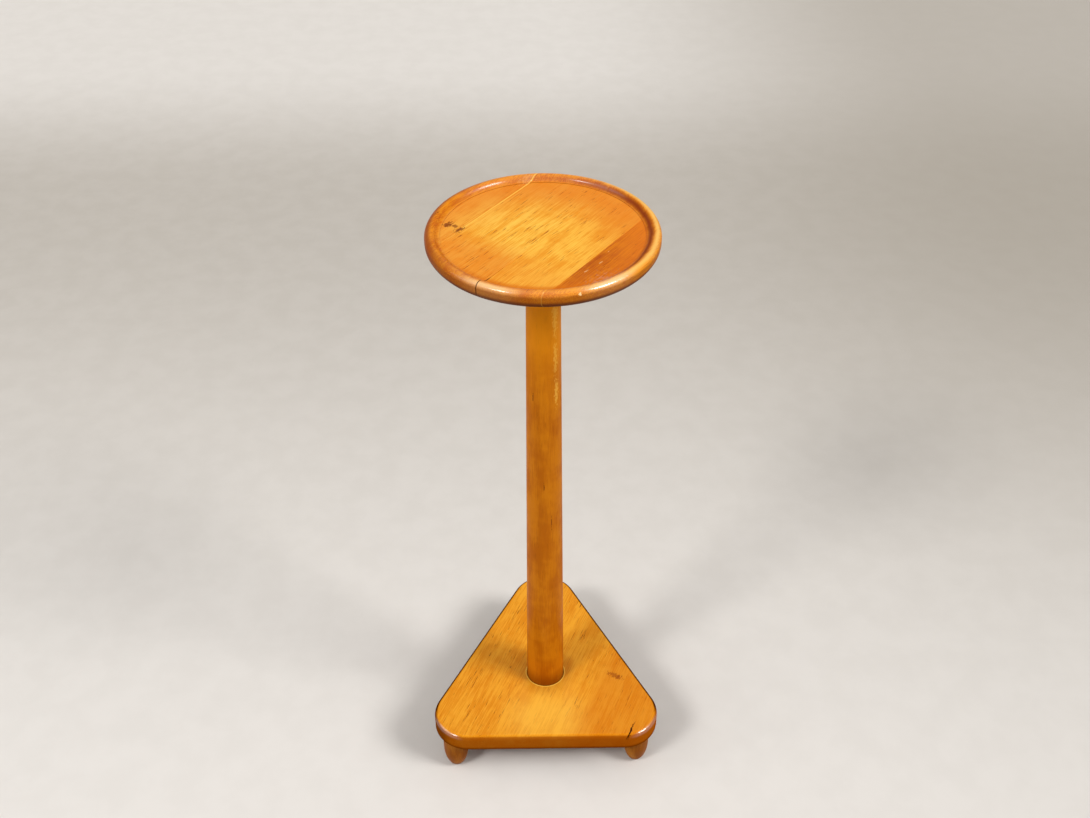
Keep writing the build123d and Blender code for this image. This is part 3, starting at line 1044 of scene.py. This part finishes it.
# %% Turn the column
head_radius = 0.019
shoulder_bevel = 0.001
tenon_radius = 0.012
bolt_grip = 0.062
column_steps = 128
block_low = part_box("pivot_block")[0]
wedge_low, wedge_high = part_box("tenon_wedge")
wedge_thick = 0.0035
wedge_thin = 0.0012


def column_shape():
    """The turned column, hollow where the bolt from below grips it."""
    shape = bmesh.new()
    bolt_end = column_low.z + bolt_grip
    last = pen_start(shape, axis, 0, bolt_end)
    for radius, height in (
        (bolt_radius, bolt_end),
        (bolt_radius, column_low.z),
        (column_radius, column_low.z),
        (column_radius, base_high.z),
        (head_radius, block_low.z - shoulder_bevel),
        (head_radius - shoulder_bevel, block_low.z),
        (tenon_radius, block_low.z),
        (tenon_radius, column_high.z),
        (0, column_high.z),
    ):
        last = pen_line(shape, last, axis, radius, height)
    spin_outline(shape, axis, column_steps)
    return shape


def saw_cut():
    """The slot in the tenon: as thick as the wedge, a little longer than the tenon is wide."""
    shape = bmesh.new()
    for half, height in ((wedge_thin / 2, wedge_low.z), (wedge_thick / 2, wedge_high.z + past)):
        for side in (-1, 1):
            for end in (-1, 1):
                flat = along * side * half + across * end * (tenon_radius + past)
                shape.verts.new(axis + flat + up * height)
    bmesh.ops.convex_hull(shape, input=shape.verts[:])
    bmesh.ops.recalc_face_normals(shape, faces=shape.faces)
    return shape


turned_column = make_piece("turned_column", column_shape())
carve(turned_column, [saw_cut()])
print("column turned:", len(turned_column.data.vertices), "vertices")

# %% [markdown]
# The column's grain runs upright, so its figure is turned to stand on end. It is quieter than
# the figure of the boards, and painted light makes it paler towards the top. Pale painted
# highlights lie near the top and down the right side, dark specks lie on the front, and
# painted shade darkens it just above the base. The same finish in deeper tones serves the
# pegs, where the painted shade lies near the floor.

# %% Finish of the column
upright_turn = (0, -pi / 2, 0)
upright_coat = 0.04
upright_gloss = (0.38, 0.54)
upright_streaks = 0.16
upright_fleck = srgb(104, 48, 4)
# Painted light towards the top of the column.
painted_light_heights = (0.52, 0.73)
painted_light_tone = srgb(236, 146, 10)


def column_mark(height, sideways, length, width, mark_tone, share):
    """A mark on the front of the column, at a height and off its middle line."""
    centre = (height, -head_radius, -sideways)
    return centre, (length, 2 * head_radius, width), mark_tone, share


# Dark specks first, then pale marks that are painted highlights near the top and down the right
# side.
column_marks = (
    column_mark(0.569, -0.0125, 0.013, 0.0018, burnt_and_shade, 0.8),
    column_mark(0.438, -0.0005, 0.014, 0.0026, burnt_and_shade, 0.8),
    column_mark(0.378, 0.0085, 0.026, 0.0014, burnt_and_shade, 0.8),
    column_mark(0.737, -0.0125, 0.018, 0.0060, glue_and_highlight_pale, 0.45),
    column_mark(0.733, -0.0050, 0.012, 0.0060, glue_and_highlight_pale, 0.40),
    column_mark(0.722, 0.0115, 0.018, 0.0080, glue_and_highlight_pale, 0.55),
    column_mark(0.680, 0.0125, 0.060, 0.0070, glue_and_highlight_pale, 0.30),
    column_mark(0.625, 0.0130, 0.050, 0.0060, glue_and_highlight_pale, 0.28),
    column_mark(0.575, 0.0140, 0.045, 0.0050, glue_and_highlight_pale, 0.35),
)


def upright_finish(name, seed, pale, deep, flecks, foot_shade, marks=()):
    """Lacquered wood whose grain runs upright; painted shade darkens it towards a height, over a
    length, and painted light pales its top.
    """
    material, tree, shader = lacquer(name)
    shader.inputs["Coat Weight"].default_value = upright_coat
    place = grain_place(tree, axis, upright_turn)
    colour, relief = wood_figure(
        tree, place, seed, pale, deep, upright_fleck, flecks, upright_streaks
    )
    height = parts_of(tree, place)["X"]
    dark_height, fade = foot_shade
    # Painted shade just above the given height.
    dark = ramp(tree, height, dark_height + fade, dark_height, high=0.55)
    colour = tint(tree, dark, colour, burnt_and_shade)
    # Painted light towards the top.
    colour = tint(tree, ramp(tree, height, *painted_light_heights, high=0.65), colour, painted_light_tone)
    polish(tree, shader, place, marked(tree, place, colour, marks), relief, upright_gloss)
    return material


# Painted shade just above the base.
column_wood = upright_finish(
    "column_wood_lacquered", (7.1, 3.3, 2.2), srgb(198, 116, 10), srgb(176, 94, 4), 0.3,
    (base_high.z, 0.030), column_marks,
)
dress(turned_column, column_wood, "stand", "column")

# %% [markdown]
# Each foot is a turned peg with a long round end, worn flat where it stands, and a tenon
# glued into the base. The round end isn't part of a circle: it leaves the floor at a low
# slant and comes up to the side upright. A curve with one handle at each end draws that.

# %% Turn the pegs
peg_pad_radius = 0.004
peg_dome_height = 0.037
peg_tip = (0.0115, 0.0042)
peg_side_start = 0.0195
peg_steps = 64
dome_steps = 20
# Painted shade near the floor.
peg_wood = upright_finish(
    "peg_wood_lacquered", (9.4, 4.7, 3.1), srgb(168, 102, 20), srgb(134, 71, 6), 0.5,
    (0.0, 0.020),
)


def pen_curve(shape, last, centre, points, steps):
    """Draw a curve by its start, two handles and its end, each by radius and height."""
    places = [Vector((centre.x + radius, centre.y, height)) for radius, height in points]
    for place in interpolate_bezier(*places, steps + 1)[1:]:
        last = pen_line(shape, last, centre, place.x - centre.x, place.z)
    return last


for node in pegs:
    low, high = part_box(node)
    centre = peg_centre(node)
    peg_radius = (high.x - low.x) / 2
    shape = bmesh.new()
    last = pen_start(shape, centre, 0, low.z)
    last = pen_line(shape, last, centre, peg_pad_radius, low.z)
    dome = (
        (peg_pad_radius, low.z),
        (peg_tip[0], low.z + peg_tip[1]),
        (peg_radius, low.z + peg_side_start),
        (peg_radius, low.z + peg_dome_height),
    )
    last = pen_curve(shape, last, centre, dome, dome_steps)
    for radius, height in (
        (peg_radius, base_low.z),
        (peg_tenon_radius, base_low.z),
        (peg_tenon_radius, high.z),
        (0, high.z),
    ):
        last = pen_line(shape, last, centre, radius, height)
    spin_outline(shape, centre, peg_steps)
    dress(make_piece(node.replace("foot", "peg"), shape), peg_wood, "stand", node)

# %% [markdown]
# What makes the top tip stays out of sight below it: a block on the column, two bearers
# under the top, pins, screws and a turn button. Their solids already have the right shape,
# so they only get a finish: oiled wood without lacquer, and plain metal with a little wear.

# %% Finish of the hidden pieces
oiled_fleck = srgb(124, 66, 20)
oiled_gloss = (0.48, 0.66)
wear_size = (0.003, 0.003)
scratch_size = (0.004, 0.0003)
wear_range = (0.4, 0.65)
scratch_range = (0.3, 0.7)
scratch_strength = 0.2
scratch_depth = 0.00005


def oiled_wood(name, turn, seed, pale, deep):
    """Plain oiled wood for the pieces below the top."""
    material, tree, shader = lacquer(name)
    place = grain_place(tree, axis, turn)
    colour, relief = wood_figure(tree, place, seed, pale, deep, oiled_fleck, 0.6)
    polish(tree, shader, place, colour, relief, oiled_gloss)
    return material


def metal(name, bright, dull, gloss):
    """Worn metal: bright where it is rubbed, dull in between."""
    material = bpy.data.materials.new(name)
    material.use_nodes = True
    tree = material.node_tree
    shader = tree.nodes["Principled BSDF"]
    shader.inputs["Metallic"].default_value = 1.0
    place = grain_place(tree, axis, (0, 0, 0))
    wear = ramp(tree, noise(tree, stretched(tree, place, *wear_size), 4), *wear_range)
    scratches = noise(tree, stretched(tree, place, *scratch_size), 2)
    tree.links.new(tint(tree, wear, bright, dull), shader.inputs["Base Color"])
    tree.links.new(ramp(tree, scratches, *scratch_range, *gloss), shader.inputs["Roughness"])
    fills = {"Height": scratches, "Strength": scratch_strength, "Distance": scratch_depth}
    bump = add_node(tree, "ShaderNodeBump", fills).outputs[0]
    tree.links.new(bump, shader.inputs["Normal"])
    return material


across_turn = (0, 0, stave_turn + pi / 2)
along_turn = (0, 0, stave_turn)
oiled_tones = {
    "bearer": (across_turn, (11, 5, 4), srgb(222, 160, 84), srgb(190, 122, 54)),
    "block": (along_turn, (13, 6, 5), srgb(212, 146, 70), srgb(176, 106, 42)),
    "wedge": (upright_turn, (15, 7, 6), srgb(150, 88, 40), srgb(118, 62, 24)),
    "button": (across_turn, (17, 8, 7), srgb(198, 124, 50), srgb(160, 88, 28)),
}
oiled = {kind: oiled_wood(f"{kind}_oiled_wood", *tone) for kind, tone in oiled_tones.items()}
steel = metal("worn_steel", srgb(196, 194, 190), srgb(128, 124, 118), (0.28, 0.50))
brass = metal("worn_brass", srgb(206, 168, 92), srgb(142, 104, 46), (0.26, 0.46))
hidden = {
    "bearer_left": oiled["bearer"],
    "bearer_right": oiled["bearer"],
    "pivot_block": oiled["block"],
    "tenon_wedge": oiled["wedge"],
    "turn_button": oiled["button"],
    "bearer_screws_long": steel,
    "bearer_screws_short": steel,
    "column_screw": steel,
    "column_washer": steel,
    "pivot_pin_left": steel,
    "pivot_pin_right": steel,
    "button_screw": brass,
    "button_washer": brass,
}
for node, material in hidden.items():
    nodes[node].data.materials[0] = material
print("finished", len(hidden), "hidden pieces")

# %% [markdown]
# The stage is a plain pale floor, which gets darker to the back and to the right. It lies a
# hair below the pegs, so that no face of it shows through theirs. Its colour is worked out
# from Object coordinates as that of the wood is.

# %% Floor
floor_size = 60.0
floor_drop = 0.0002
floor_pale = srgb(224, 219, 213)
floor_shaded = srgb(158, 150, 138)
floor_run = (-0.30, 1.45)
floor_end = (2.20, 1.50)
floor_side = (0.0, 1.10)
blot_size = (0.05, 0.05)
blot_range = (0.3, 0.7)
floor_roughness = 0.7
floor_shine = 0.2


def floor_finish():
    """Pale matt floor, faintly uneven, with painted shade that darkens it to the back and to the
    right.
    """
    material = bpy.data.materials.new("pale_floor")
    material.use_nodes = True
    tree = material.node_tree
    shader = tree.nodes["Principled BSDF"]
    place = grain_place(tree, axis, (0, 0, 0))
    parts = parts_of(tree, place)
    # Painted shade: darker to the back, lighter again far off, and darker to the right.
    backwards = ramp(tree, parts["Y"], *floor_run)
    beyond = ramp(tree, parts["Y"], *floor_end, low=0.17, high=0.66)
    blots = noise(tree, stretched(tree, place, *blot_size), 4)
    blots = ramp(tree, blots, *blot_range, low=-0.03, high=0.03)
    share = maths(tree, "MULTIPLY_ADD", backwards, beyond, blots)
    colour = tint(tree, share, floor_pale, floor_shaded)
    rightwards = ramp(tree, parts["X"], *floor_side, high=0.70)
    deeper = ramp(tree, parts["Y"], *floor_run, low=0.2)
    colour = tint(tree, both(tree, deeper, rightwards), colour, floor_shaded)
    tree.links.new(colour, shader.inputs["Base Color"])
    shader.inputs["Roughness"].default_value = floor_roughness
    shader.inputs["Specular IOR Level"].default_value = floor_shine
    return material


ground = bmesh.new()
bmesh.ops.create_grid(ground, x_segments=1, y_segments=1, size=floor_size)
bmesh.ops.translate(ground, verts=ground.verts, vec=(0, 0, -floor_drop))
floor = make_piece("floor", ground)
floor.data.materials.append(floor_finish())
print("floor", 2 * floor_size, "m across")

# %% [markdown]
# The light is that of a plain studio. A fairly narrow light on each side does most of the
# work: it gives the highlights on the rim and draws a soft shadow of the column on the other
# side. A broad light beside each softens those shadows, and a weak one overhead fills in. They
# are far lights, because those fall as evenly on the base as on the top above it. The sky
# gives weak light from all round, but a camera or a glossy face sees it as a pale backdrop.

# %% Lights and sky
lights = (
    ("overhead_light", (0.0, -0.05, 1.0), 70, 0.42),
    ("left_light", (-0.80, -0.15, 0.58), 40, 0.52),
    ("left_key", (-0.53, -0.49, 0.69), 14, 1.24),
    ("right_light", (0.70, -0.20, 0.68), 36, 0.46),
    ("right_key", (0.67, -0.32, 0.67), 20, 1.58),
)
sky_tone = srgb(226, 224, 222)
sky_light = 0.25
sky_seen = 0.85


def far_light(name, direction, spread, strength):
    """A distant soft light that shines from a direction; the spread softens its shadows."""
    lamp = bpy.data.lights.new(name, "SUN")
    lamp.angle = radians(spread)
    lamp.energy = strength
    light = bpy.data.objects.new(name, lamp)
    scene.collection.objects.link(light)
    light.matrix_world = Vector(direction).to_track_quat("Z", "Y").to_matrix().to_4x4()


def pale_sky():
    """Weak light from all round that a camera or a glossy face sees as a pale backdrop."""
    world = bpy.data.worlds.new("studio")
    world.use_nodes = True
    tree = world.node_tree
    rays = add_node(tree, "ShaderNodeLightPath", {}).outputs
    mirrored = either(tree, rays["Is Glossy Ray"], rays["Is Transmission Ray"])
    seen = either(tree, rays["Is Camera Ray"], mirrored)
    strength = maths(tree, "MULTIPLY_ADD", seen, sky_seen - sky_light, sky_light)
    sky = tree.nodes["Background"]
    sky.inputs["Color"].default_value = sky_tone
    tree.links.new(strength, sky.inputs["Strength"])
    return world


for name, *settings in lights:
    far_light(name, *settings)
scene.world = pale_sky()
print("stage is set with", len(lights), "lights")
